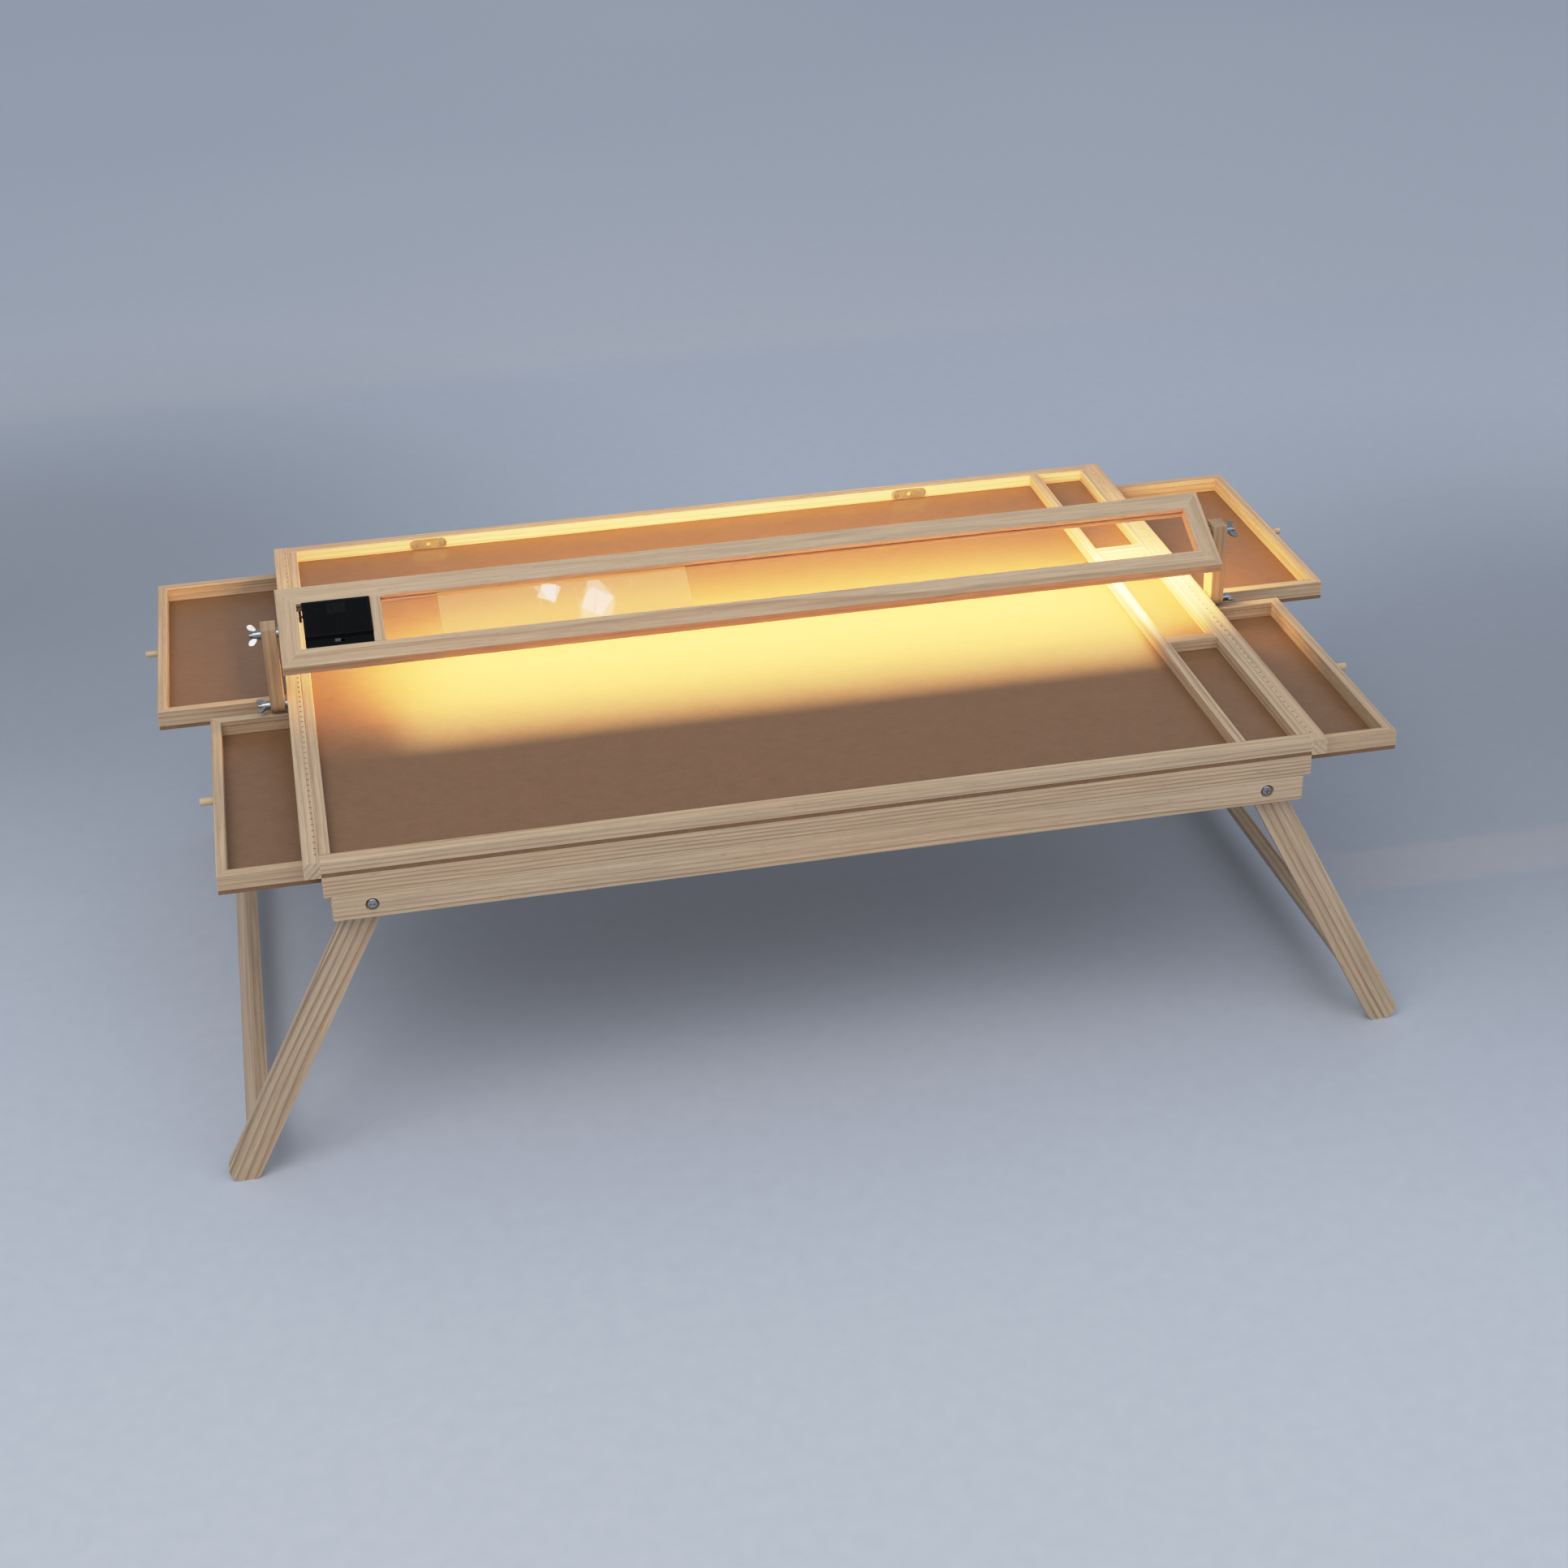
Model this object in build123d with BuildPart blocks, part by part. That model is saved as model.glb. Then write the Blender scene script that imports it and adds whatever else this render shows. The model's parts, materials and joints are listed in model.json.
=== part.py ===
"""Folding craft table with side drawers and a tilting light bar.

The table stands on the floor plane. The origin is on the floor, under the middle
of the tray: +X to the user's right, +Y away from the user, +Z up.
"""

import os
from math import cos, hypot, radians, sin

from build123d import *

os.makedirs("parts", exist_ok=True)

# ---- Driving dimensions, millimetres ----
table_width = 870.0
table_depth = 648.0
table_height = 310.0
edge_ease = 0.7

# Tray: four rails on a thin board, a pegged strip outside each side rail
tray_rail_height = 11.6
tray_rail_thickness = 13.0
tray_side_thickness = 9.3
board_thickness = 3.2
peg_strip_width = 13.5
peg_hole_radius = 1.25
peg_hole_pitch = 10.0
peg_hole_count = 63
peg_hole_depth = 8.0
peg_hole_inset = 10.8

# Compartments along the right side of the tray
compartment_width = 46.0
compartment_rail = 9.3
cross_divider_thickness = 11.0

# Carcass under the tray
carcass_rail_height = 19.2
carcass_rail_thickness = 13.0
apron_height = 23.0
apron_inset = 5.0
apron_corner = 2.5
spine_width = 22.0
guide_height = 15.0
centre_stop_width = 28.0
tie_height = 12.0
end_tie_width = 17.8
middle_tie_width = 24.0
middle_tie_offset = 55.0
leg_stop_clearance = 2.7
tie_ease = 0.4

# Drawers
drawer_length = 420.0
drawer_wall_height = 14.5
drawer_wall = 9.2
drawer_side_clearance = 0.6
drawer_top_clearance = 0.9
drawer_groove = 2.0
drawer_groove_depth = 1.0
drawer_groove_height = 8.0
pull_radius = 3.3
pull_length = 12.0
pull_tenon = 6.0
pull_rounding = 0.8
drawer_pulled_out = {
    "front_left": 70.0,
    "rear_left": 117.0,
    "front_right": 75.0,
    "rear_right": 130.0,
}

# Legs
leg_width = 27.6
leg_thickness = 12.0
leg_pivot_inset = 51.5
leg_pivot_drop = 45.0
leg_foot_reach = 138.0
leg_outer_toe = 11.0
leg_inner_toe = 8.0
stretcher_width = 23.0
stretcher_thickness = 13.0
stretcher_along_leg = 258.5
stretcher_set_in = 1.8
moving_gap = 0.3

# Bolts
bolt_radius = 2.5
running_clearance = 0.1
leg_bolt_head_radius = 4.75
leg_bolt_head_height = 3.1
leg_bolt_head_rounding = 2.2
leg_bolt_recess_radius = 5.9
leg_bolt_slot_length = 5.0
leg_bolt_slot_width = 1.2
leg_bolt_slot_depth = 1.7
leg_bolt_recess_depth = 3.4
washer_radius = 5.2
washer_thickness = 1.0
nut_across_flats = 8.0
nut_height = 4.5
bolt_beyond_nut = 1.0
bolt_beyond_wing_nut = 3.0

# Posts and light bar
post_width = 20.0
post_thickness = 13.0
post_below_pivot = 6.0
post_above_pivot = 8.0
post_bottom_corner = 9.0
pivot_y = -14.0
lower_pivot_drop = 8.0
upper_pivot_rise = 62.6
spacer_thickness = 2.0
hanger_bolt_depth = 18.0
end_rail_bolt_stop = 3.0
light_bar_depth = 89.7
light_bar_thickness = 11.5
light_bar_tilt = 27.0
light_rail = 19.3
light_end_rail = 18.0
lens_groove = 3.1
lens_groove_depth = 3.4
cross_bar_start = 83.0
cross_bar_width = 10.0
lens_start = 144.0
lens_length = 228.0
lens_thickness = 2.4
lens_edge_clearance = 0.5
led_tape_width = 8.0
led_tape_thickness = 1.0
led_chip_pitch = 25.0
led_chip_length = 5.0
led_chip_width = 3.0
led_chip_height = 0.8
led_chip_count = 30
led_tape_start = 6.0
led_tape_margin = 24.0

# Battery holder in the light bar's left bay
cradle_floor = 2.0
cradle_lip = 5.5
battery_box_length = 60.5
battery_box_depth = 50.3
battery_box_bottom = -9.5
battery_box_top = 6.0
battery_wall = 1.5
battery_floor = 1.2
battery_lid_thickness = 1.4
battery_lid_depth = 40.0
battery_step = 1.0
battery_corner = 2.0
cell_radius = 7.0
cell_length = 49.5
cell_button_radius = 2.6
cell_button_length = 1.2
cell_pitch = 14.6
cell_count = 2
cell_play = 2.0
cell_clearance = 0.1
switch_slot_length = 9.0
switch_slot_width = 3.4
switch_slot_depth = 4.0
switch_knob_length = 5.0
switch_knob_rise = 1.3
switch_clearance = 0.3
lead_radius = 1.1
lead_exit_y = 14.0
lead_exit_height = 1.0
lead_bend = 2.0

# Wing nuts; the wing outline runs out from the bolt and up from the washer
wing_hub_radius = 4.6
wing_hub_height = 6.0
wing_hub_taper = 8.0
wing_thickness = 2.2
wing_rounding = 1.0
wing_nut_gap = 0.15
wing_root = [(3.2, 5.2), (3.2, 0.8)]
wing_edge = [(6.6, 2.4), (10.4, 6.4), (10.4, 12.0), (7.4, 12.0)]
wing_turns = {
    "left_lower": radians(8),
    "right_lower": radians(-6),
    "left_upper": radians(50),
    "right_upper": radians(26),
}

# Metal plates on the back rail
plate_length = 37.0
plate_height = 10.4
plate_thickness = 1.5
plate_spacing = 504.0
plate_screw_spacing = 25.0
plate_eye_radius = 2.2
screw_radius = 1.5
screw_head_radius = 2.9
screw_head_angle = 90
screw_length = 9.0

# ---- Levels and edges worked out from them ----
half_width = table_width / 2
half_depth = table_depth / 2
tray_half_width = half_width - peg_strip_width
tray_inner_x = tray_half_width - tray_side_thickness
tray_inner_y = half_depth - tray_rail_thickness
board_top = table_height - tray_rail_height
board_bottom = board_top - board_thickness
carcass_bottom = board_bottom - carcass_rail_height
apron_bottom = carcass_bottom - apron_height
leg_front_y = half_depth - carcass_rail_thickness - moving_gap
leg_back_y = leg_front_y - leg_thickness
drawer_outer_y = leg_back_y - moving_gap - running_clearance
drawer_inner_y = spine_width / 2 + drawer_side_clearance
drawer_top = board_bottom - drawer_top_clearance
drawer_bottom = drawer_top - drawer_wall_height - board_thickness
leg_pivot_x = half_width - leg_pivot_inset
leg_pivot_z = table_height - leg_pivot_drop
lower_pivot_z = table_height - lower_pivot_drop
upper_pivot_z = table_height + upper_pivot_rise
post_inner_x = half_width + spacer_thickness + moving_gap
post_outer_x = post_inner_x + post_thickness
wing_washer_x = post_outer_x + moving_gap
wing_nut_x = wing_washer_x + washer_thickness + wing_nut_gap
running_radius = bolt_radius + running_clearance


def finish(part, label):
    """Names a finished piece and writes it."""
    part.label = label
    export_step(part, f"parts/{label}.step")


def group(solids, label):
    """Writes separate, alike pieces as one node."""
    finish(Compound(label=label, children=list(solids)), label)


def timber(low, high, grain, ease=edge_ease):
    """A planed bar between two opposite corners, its long edges eased."""
    length, width, height = [b - a for a, b in zip(low, high)]
    centre_x = (low[0] + high[0]) / 2
    centre_y = (low[1] + high[1]) / 2
    with BuildPart() as bar:
        with BuildSketch(Plane.XY.offset(low[2])):
            with Locations((centre_x, centre_y)):
                Rectangle(length, width)
        extrude(amount=height)
        if ease:
            fillet(bar.edges().filter_by(grain), ease)
    return bar.part


def across(x):
    """A plane across X, its own x along +Y and its own y along +Z."""
    return Plane(origin=(x, 0, 0), x_dir=(0, 1, 0), z_dir=(1, 0, 0))


def facing_front(y):
    """A plane facing the user, its own x along +X and its own y along +Z."""
    return Plane(origin=(0, y, 0), x_dir=(1, 0, 0), z_dir=(0, -1, 0))


def rod(start, direction, radius, length):
    """A round bar from a point, along a direction."""
    with BuildPart() as bar:
        with BuildSketch(Plane(origin=start, z_dir=direction)):
            Circle(radius)
        extrude(amount=length)
    return bar.part


def washer(start, direction, thickness):
    """A flat ring from a point, along a direction, round a bolt."""
    with BuildPart() as ring:
        with BuildSketch(Plane(origin=start, z_dir=direction)):
            Circle(washer_radius)
            Circle(running_radius, mode=Mode.SUBTRACT)
        extrude(amount=thickness)
    return ring.part


# ---- Tray ----
finish(
    timber(
        (-tray_half_width, -half_depth, board_top),
        (tray_half_width, -tray_inner_y, table_height),
        Axis.X,
    ),
    "tray_front_rail",
)

with BuildPart() as tray_back_rail:
    add(
        timber(
            (-tray_half_width, tray_inner_y, board_top),
            (tray_half_width, half_depth, table_height),
            Axis.X,
        )
    )
plate_centre_x = -(compartment_width + compartment_rail) / 2
plate_centre_z = board_top + tray_rail_height / 2
plate_centres = [plate_centre_x - plate_spacing / 2, plate_centre_x + plate_spacing / 2]
screw_places = [
    (x + side * plate_screw_spacing / 2, plate_centre_z) for x in plate_centres for side in (-1, 1)
]
with BuildPart(mode=Mode.PRIVATE) as plate_pilot_holes:
    with BuildSketch(facing_front(tray_inner_y)):
        with Locations(*screw_places):
            Circle(screw_radius)
    extrude(amount=-(screw_length - plate_thickness))
with tray_back_rail:
    add(plate_pilot_holes.part, mode=Mode.SUBTRACT)
finish(tray_back_rail.part, "tray_back_rail")

for side, name in ((-1, "left"), (1, "right")):
    inner = side * tray_inner_x
    outer = side * tray_half_width
    with BuildPart() as tray_side_rail:
        add(
            timber(
                (min(inner, outer), -tray_inner_y, board_top),
                (max(inner, outer), tray_inner_y, table_height),
                Axis.Y,
            )
        )
        with BuildSketch(across(side * half_width)):
            with Locations((pivot_y, lower_pivot_z)):
                Circle(bolt_radius)
        extrude(amount=-side * hanger_bolt_depth, mode=Mode.SUBTRACT)
    finish(tray_side_rail.part, f"tray_{name}_rail")

    edge = side * half_width
    with BuildPart() as peg_strip:
        add(
            timber(
                (min(outer, edge), -half_depth, board_bottom),
                (max(outer, edge), half_depth, table_height),
                Axis.Y,
            )
        )
        with BuildSketch(Plane.XY.offset(table_height)):
            with Locations((side * (half_width - peg_hole_inset), 0)):
                with GridLocations(0, peg_hole_pitch, 1, peg_hole_count):
                    Circle(peg_hole_radius)
        extrude(amount=-peg_hole_depth, mode=Mode.SUBTRACT)
        with BuildSketch(across(edge)):
            with Locations((pivot_y, lower_pivot_z)):
                Circle(bolt_radius)
        extrude(amount=-side * peg_strip_width, mode=Mode.SUBTRACT)
    finish(peg_strip.part, f"peg_strip_{name}")

finish(
    timber(
        (-tray_half_width, -half_depth, board_bottom),
        (tray_half_width, half_depth, board_top),
        Axis.X,
        ease=0,
    ),
    "tray_board",
)

compartment_x = tray_inner_x - compartment_width
long_divider = timber(
    (compartment_x - compartment_rail, -tray_inner_y, board_top),
    (compartment_x, tray_inner_y, table_height),
    Axis.Y,
)
third = (2 * tray_inner_y + cross_divider_thickness) / 3
cross_dividers = [
    timber(
        (compartment_x, y - cross_divider_thickness / 2, board_top),
        (tray_inner_x, y + cross_divider_thickness / 2, table_height),
        Axis.X,
    )
    for y in (-third / 2, third / 2)
]
group([long_divider] + cross_dividers, "compartment_dividers")

# ---- Metal plates on the back rail ----
plate_plane = facing_front(tray_inner_y)
plates = []
for x in plate_centres:
    with BuildPart() as plate:
        with BuildSketch(plate_plane):
            with Locations((x, plate_centre_z)):
                SlotOverall(plate_length, plate_height)
                Circle(plate_eye_radius, mode=Mode.SUBTRACT)
        extrude(amount=plate_thickness)
        with Locations(plate_plane.offset(plate_thickness)):
            with Locations(
                (x - plate_screw_spacing / 2, plate_centre_z),
                (x + plate_screw_spacing / 2, plate_centre_z),
            ):
                CounterSinkHole(
                    screw_radius, screw_head_radius, plate_thickness, screw_head_angle
                )
    plates.append(plate.part)
group(plates, "rail_plates")

plate_screws = []
for x, z in screw_places:
    with BuildPart() as plate_screw:
        with BuildSketch(Plane(origin=(x, tray_inner_y, z), x_dir=(1, 0, 0), z_dir=(0, 0, 1))):
            with BuildLine():
                Polyline(
                    (0, -plate_thickness),
                    (screw_head_radius, -plate_thickness),
                    (screw_radius, -plate_thickness + screw_head_radius - screw_radius),
                    (screw_radius, screw_length - plate_thickness - screw_radius),
                    (0, screw_length - plate_thickness),
                    close=True,
                )
            make_face()
        revolve(axis=Axis((x, 0, z), (0, 1, 0)))
    plate_screws.append(plate_screw.part)
group(plate_screws, "plate_screws")

# ---- Carcass: rails, spine, guides, stops and ties ----
carcass_rails = []
for side, name in ((-1, "front"), (1, "back")):
    near = side * (half_depth - carcass_rail_thickness)
    far = side * half_depth
    carcass_rails.append(
        timber(
            (-tray_half_width, min(near, far), carcass_bottom),
            (tray_half_width, max(near, far), board_bottom),
            Axis.X,
        )
    )
    apron_end = tray_half_width - apron_inset
    apron_face = Plane(origin=(0, far, 0), x_dir=(side * -1, 0, 0), z_dir=(0, side, 0))
    with BuildPart() as apron:
        add(
            timber(
                (-apron_end, min(near, far), apron_bottom),
                (apron_end, max(near, far), carcass_bottom),
                Axis.X,
            )
        )
        fillet(apron.edges().filter_by(Axis.Y).group_by(Axis.Z)[0], apron_corner)
        with BuildSketch(apron_face):
            with Locations((-leg_pivot_x, leg_pivot_z), (leg_pivot_x, leg_pivot_z)):
                Circle(leg_bolt_recess_radius)
        extrude(amount=-leg_bolt_recess_depth, mode=Mode.SUBTRACT)
        with BuildSketch(apron_face):
            with Locations((-leg_pivot_x, leg_pivot_z), (leg_pivot_x, leg_pivot_z)):
                Circle(running_radius)
        extrude(amount=-carcass_rail_thickness, mode=Mode.SUBTRACT)
    finish(apron.part, f"{name}_apron")
group(carcass_rails, "carcass_rails")

spine_y = spine_width / 2
finish(
    timber(
        (-tray_half_width, -spine_y, carcass_bottom),
        (tray_half_width, spine_y, board_bottom),
        Axis.X,
    ),
    "drawer_spine",
)

carcass_inner_y = half_depth - carcass_rail_thickness
guide_inner_y = carcass_inner_y - leg_thickness
guide_bottom = board_bottom - guide_height
guides = [
    timber(
        (-tray_half_width, min(side * guide_inner_y, side * carcass_inner_y), guide_bottom),
        (tray_half_width, max(side * guide_inner_y, side * carcass_inner_y), board_bottom),
        Axis.X,
    )
    for side in (-1, 1)
]
centre_stops = [
    timber(
        (-centre_stop_width / 2, min(side * spine_y, side * guide_inner_y), guide_bottom),
        (centre_stop_width / 2, max(side * spine_y, side * guide_inner_y), board_bottom),
        Axis.Y,
    )
    for side in (-1, 1)
]
group(guides + centre_stops, "drawer_guides")

# The end ties carry the drawers and stop the splayed legs; the middle ones carry the drawers.
end_tie_x = leg_pivot_x + leg_width / 2 + leg_stop_clearance + end_tie_width / 2
group(
    [
        timber(
            (x - width / 2, -carcass_inner_y, carcass_bottom - tie_height),
            (x + width / 2, carcass_inner_y, carcass_bottom),
            Axis.Y,
            ease=tie_ease,
        )
        for x, width in (
            (-end_tie_x, end_tie_width),
            (-middle_tie_offset, middle_tie_width),
            (middle_tie_offset, middle_tie_width),
            (end_tie_x, end_tie_width),
        )
    ],
    "cross_ties",
)

# ---- Drawers ----
drawer_width = drawer_outer_y - drawer_inner_y


def mitred_frame(plane, length, width, long_rail, end_rail, height, ease=edge_ease):
    """Four bars mitred at the corners, on a plane: front, back, left and right."""
    half_l, half_w = length / 2, width / 2
    inner_l, inner_w = half_l - end_rail, half_w - long_rail
    outlines = [
        ((-half_l, -half_w), (half_l, -half_w), (inner_l, -inner_w), (-inner_l, -inner_w)),
        ((-half_l, half_w), (-inner_l, inner_w), (inner_l, inner_w), (half_l, half_w)),
        ((-half_l, -half_w), (-inner_l, -inner_w), (-inner_l, inner_w), (-half_l, half_w)),
        ((half_l, -half_w), (half_l, half_w), (inner_l, inner_w), (inner_l, -inner_w)),
    ]
    grains = [plane.x_dir, plane.x_dir, plane.y_dir, plane.y_dir]
    bars = []
    for outline, grain in zip(outlines, grains):
        with BuildPart() as bar:
            with BuildSketch(plane):
                with BuildLine():
                    Polyline(*outline, close=True)
                make_face()
            extrude(amount=height)
            fillet(bar.edges().filter_by(Axis((0, 0, 0), grain)), ease)
        bars.append(bar.part)
    return bars


def drawer(name, side, row):
    """One drawer: mitred walls with a pull peg in the outer one, on a thin board."""
    outer_end = half_width + drawer_pulled_out[name]
    centre_x = side * (outer_end - drawer_length / 2)
    centre_y = row * (drawer_outer_y + drawer_inner_y) / 2
    centre_z = drawer_bottom + board_thickness + drawer_wall_height / 2
    wall_plane = Plane(
        origin=(centre_x, centre_y, drawer_bottom + board_thickness),
        x_dir=(1, 0, 0),
        z_dir=(0, 0, 1),
    )
    walls = mitred_frame(
        wall_plane, drawer_length, drawer_width, drawer_wall, drawer_wall, drawer_wall_height
    )
    with BuildPart(mode=Mode.PRIVATE) as groove:
        with BuildSketch(wall_plane.offset(drawer_groove_height)):
            Rectangle(
                drawer_length - 2 * (drawer_wall - drawer_groove_depth),
                drawer_width - 2 * (drawer_wall - drawer_groove_depth),
            )
        extrude(amount=drawer_groove)
    pull_start = (side * (outer_end - pull_tenon), centre_y, centre_z)
    with BuildPart() as pull:
        add(rod(pull_start, (side, 0, 0), pull_radius, pull_tenon + pull_length))
        outer_rim = pull.edges().filter_by(GeomType.CIRCLE).sort_by(Axis.X)[-1 if side > 0 else 0]
        fillet(outer_rim, pull_rounding)
    finished_walls = []
    for wall in walls:
        with BuildPart() as grooved:
            add(wall)
            add(groove.part, mode=Mode.SUBTRACT)
            add(pull.part, mode=Mode.SUBTRACT)
        finished_walls.append(grooved.part)
    group(finished_walls, f"drawer_{name}_walls")
    finish(pull.part, f"drawer_{name}_pull")
    finish(
        timber(
            (centre_x - drawer_length / 2, centre_y - drawer_width / 2, drawer_bottom),
            (
                centre_x + drawer_length / 2,
                centre_y + drawer_width / 2,
                drawer_bottom + board_thickness,
            ),
            Axis.X,
            ease=0,
        ),
        f"drawer_{name}_board",
    )


for row, row_name in ((-1, "front"), (1, "rear")):
    for side, side_name in ((-1, "left"), (1, "right")):
        drawer(f"{row_name}_{side_name}", side, row)


# ---- Legs ----
leg_length = hypot(leg_foot_reach, leg_pivot_z)


def leg(name, side, row):
    """A flat leg with a round top at its bolt and a foot cut level with the floor."""
    lean_x = side * leg_foot_reach / leg_length
    lean_z = -leg_pivot_z / leg_length
    pivot = (side * leg_pivot_x, leg_pivot_z)
    half = leg_width / 2
    outward = (-side * lean_z * half, side * lean_x * half)
    outer_top = (pivot[0] + outward[0], pivot[1] + outward[1])
    inner_top = (pivot[0] - outward[0], pivot[1] - outward[1])
    slope = lean_x / lean_z
    outer_toe = (outer_top[0] - outer_top[1] * slope, 0)
    inner_toe = (inner_top[0] - inner_top[1] * slope, 0)
    front_y = -leg_front_y if row < 0 else leg_back_y
    with BuildPart() as blank:
        with BuildSketch(facing_front(front_y + leg_thickness)) as outline:
            with BuildLine():
                Polyline(outer_top, inner_top, inner_toe, outer_toe, close=True)
            make_face()
            for toe, rounding in ((outer_toe, leg_outer_toe), (inner_toe, leg_inner_toe)):
                fillet(outline.vertices().sort_by_distance(toe)[0], rounding)
            with Locations(pivot):
                Circle(half)
        extrude(amount=leg_thickness)
        with BuildSketch(facing_front(front_y + leg_thickness)):
            with Locations(pivot):
                Circle(running_radius)
        extrude(amount=leg_thickness, mode=Mode.SUBTRACT)
    finish(blank.part, f"leg_{name}")


for row, row_name in ((-1, "front"), (1, "rear")):
    for side, side_name in ((-1, "left"), (1, "right")):
        leg(f"{row_name}_{side_name}", side, row)

for side, name in ((-1, "left"), (1, "right")):
    along = Vector(side * leg_foot_reach, 0, -leg_pivot_z).normalized()
    inward = Vector(-side * leg_pivot_z, 0, -leg_foot_reach).normalized()
    middle = Vector(side * leg_pivot_x, -leg_back_y, leg_pivot_z)
    middle += along * stretcher_along_leg + inward * stretcher_set_in
    with BuildPart() as stretcher:
        with BuildSketch(Plane(origin=middle, x_dir=along, z_dir=(0, 1, 0))):
            RectangleRounded(stretcher_width, stretcher_thickness, edge_ease)
        extrude(amount=2 * leg_back_y)
    finish(stretcher.part, f"stretcher_{name}")

leg_bolts = []
leg_nuts = []
nut_seat = leg_back_y - moving_gap
bolt_end = nut_seat - nut_height - bolt_beyond_nut
seat = half_depth - leg_bolt_recess_depth
for row in (-1, 1):
    for side in (-1, 1):
        bolt_axis = (side * leg_pivot_x, row * seat, leg_pivot_z)
        head_plane = Plane(origin=bolt_axis, x_dir=(1, 0, 0), z_dir=(0, row, 0))
        with BuildPart() as leg_bolt:
            with BuildSketch(head_plane):
                Circle(leg_bolt_head_radius)
            extrude(amount=leg_bolt_head_height)
            rim = leg_bolt.edges().filter_by(GeomType.CIRCLE).sort_by(Axis.Y)[0 if row < 0 else -1]
            fillet(rim, leg_bolt_head_rounding)
            with BuildSketch(head_plane.offset(leg_bolt_head_height)):
                Rectangle(leg_bolt_slot_length, leg_bolt_slot_width)
                Rectangle(leg_bolt_slot_width, leg_bolt_slot_length)
            extrude(amount=-leg_bolt_slot_depth, mode=Mode.SUBTRACT)
            with BuildSketch(head_plane):
                Circle(bolt_radius)
            extrude(amount=-(seat - bolt_end))
        leg_bolts.append(leg_bolt.part)
        nut_plane = Plane(
            origin=(side * leg_pivot_x, row * nut_seat, leg_pivot_z),
            x_dir=(1, 0, 0),
            z_dir=(0, row, 0),
        )
        with BuildPart() as leg_nut:
            with BuildSketch(nut_plane):
                RegularPolygon(nut_across_flats / 2, 6, major_radius=False)
                Circle(bolt_radius, mode=Mode.SUBTRACT)
            extrude(amount=-nut_height)
        leg_nuts.append(leg_nut.part)
group(leg_bolts, "leg_bolts")
group(leg_nuts, "leg_nuts")

# ---- Posts and their bolts ----
for side, name in ((-1, "left"), (1, "right")):
    post_bottom = lower_pivot_z - post_below_pivot
    post_top = upper_pivot_z + post_above_pivot
    with BuildPart() as post:
        with BuildSketch(across(side * post_inner_x)) as post_outline:
            with Locations((pivot_y, (post_bottom + post_top) / 2)):
                Rectangle(post_width, post_top - post_bottom)
            fillet(post_outline.vertices().group_by(Axis.Y)[0], post_bottom_corner)
            with Locations((pivot_y, lower_pivot_z), (pivot_y, upper_pivot_z)):
                Circle(running_radius, mode=Mode.SUBTRACT)
        extrude(amount=side * post_thickness)
        fillet(post.edges().filter_by(Axis.Z), edge_ease)
    finish(post.part, f"post_{name}")

bolt_tip_x = wing_nut_x + wing_hub_height + bolt_beyond_wing_nut
for z, bolts_name, washers_name in (
    (lower_pivot_z, "post_bolts", "post_washers"),
    (upper_pivot_z, "light_bar_bolts", "light_bar_washers"),
):
    bolt_start_x = half_width - hanger_bolt_depth
    if z == upper_pivot_z:
        bolt_start_x = half_width - light_end_rail + end_rail_bolt_stop
    bolts = [
        rod((side * bolt_start_x, pivot_y, z), (side, 0, 0), bolt_radius, bolt_tip_x - bolt_start_x)
        for side in (-1, 1)
    ]
    washers = []
    for side in (-1, 1):
        washers.append(washer((side * half_width, pivot_y, z), (side, 0, 0), spacer_thickness))
        washers.append(washer((side * wing_washer_x, pivot_y, z), (side, 0, 0), washer_thickness))
    group(bolts, bolts_name)
    group(washers, washers_name)


def wing_nut(label, side, z, turn):
    """A wing nut outside a post, its wings turned from the level by an angle."""
    start = (side * wing_nut_x, pivot_y, z)
    reach = (0, cos(turn), sin(turn))
    with BuildPart() as nut:
        with BuildSketch(Plane(origin=start, z_dir=(side, 0, 0))):
            Circle(wing_hub_radius)
        extrude(amount=wing_hub_height, taper=wing_hub_taper)
        for direction in (1, -1):
            wing_dir = Vector(*reach) * direction
            sheet = Plane(origin=start, x_dir=wing_dir, z_dir=wing_dir.cross(Vector(side, 0, 0)))
            with BuildSketch(sheet) as wing_outline:
                with BuildLine():
                    Polyline(*wing_root, *wing_edge, close=True)
                make_face()
                fillet(wing_outline.vertices().sort_by_distance(start)[2:], wing_rounding)
            extrude(amount=wing_thickness / 2, both=True)
        with BuildSketch(Plane(origin=start, z_dir=(side, 0, 0))):
            Circle(running_radius)
        extrude(amount=wing_hub_height, mode=Mode.SUBTRACT)
    finish(nut.part, label)


wing_nut("wing_nut_left_lower", -1, lower_pivot_z, wing_turns["left_lower"])
wing_nut("wing_nut_right_lower", 1, lower_pivot_z, wing_turns["right_lower"])
wing_nut("wing_nut_left_upper", -1, upper_pivot_z, wing_turns["left_upper"])
wing_nut("wing_nut_right_upper", 1, upper_pivot_z, wing_turns["right_upper"])

# ---- Light bar, on its own tilted plane through the upper pivots ----
tilt = radians(light_bar_tilt)
bar_plane = Plane(
    origin=(0, pivot_y, upper_pivot_z), x_dir=(1, 0, 0), z_dir=(0, -sin(tilt), cos(tilt))
)
bar_underside = bar_plane.offset(-light_bar_thickness / 2)
window_depth = light_bar_depth - 2 * light_rail
bay_left = -half_width + light_end_rail
bay_right = -half_width + cross_bar_start

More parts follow.
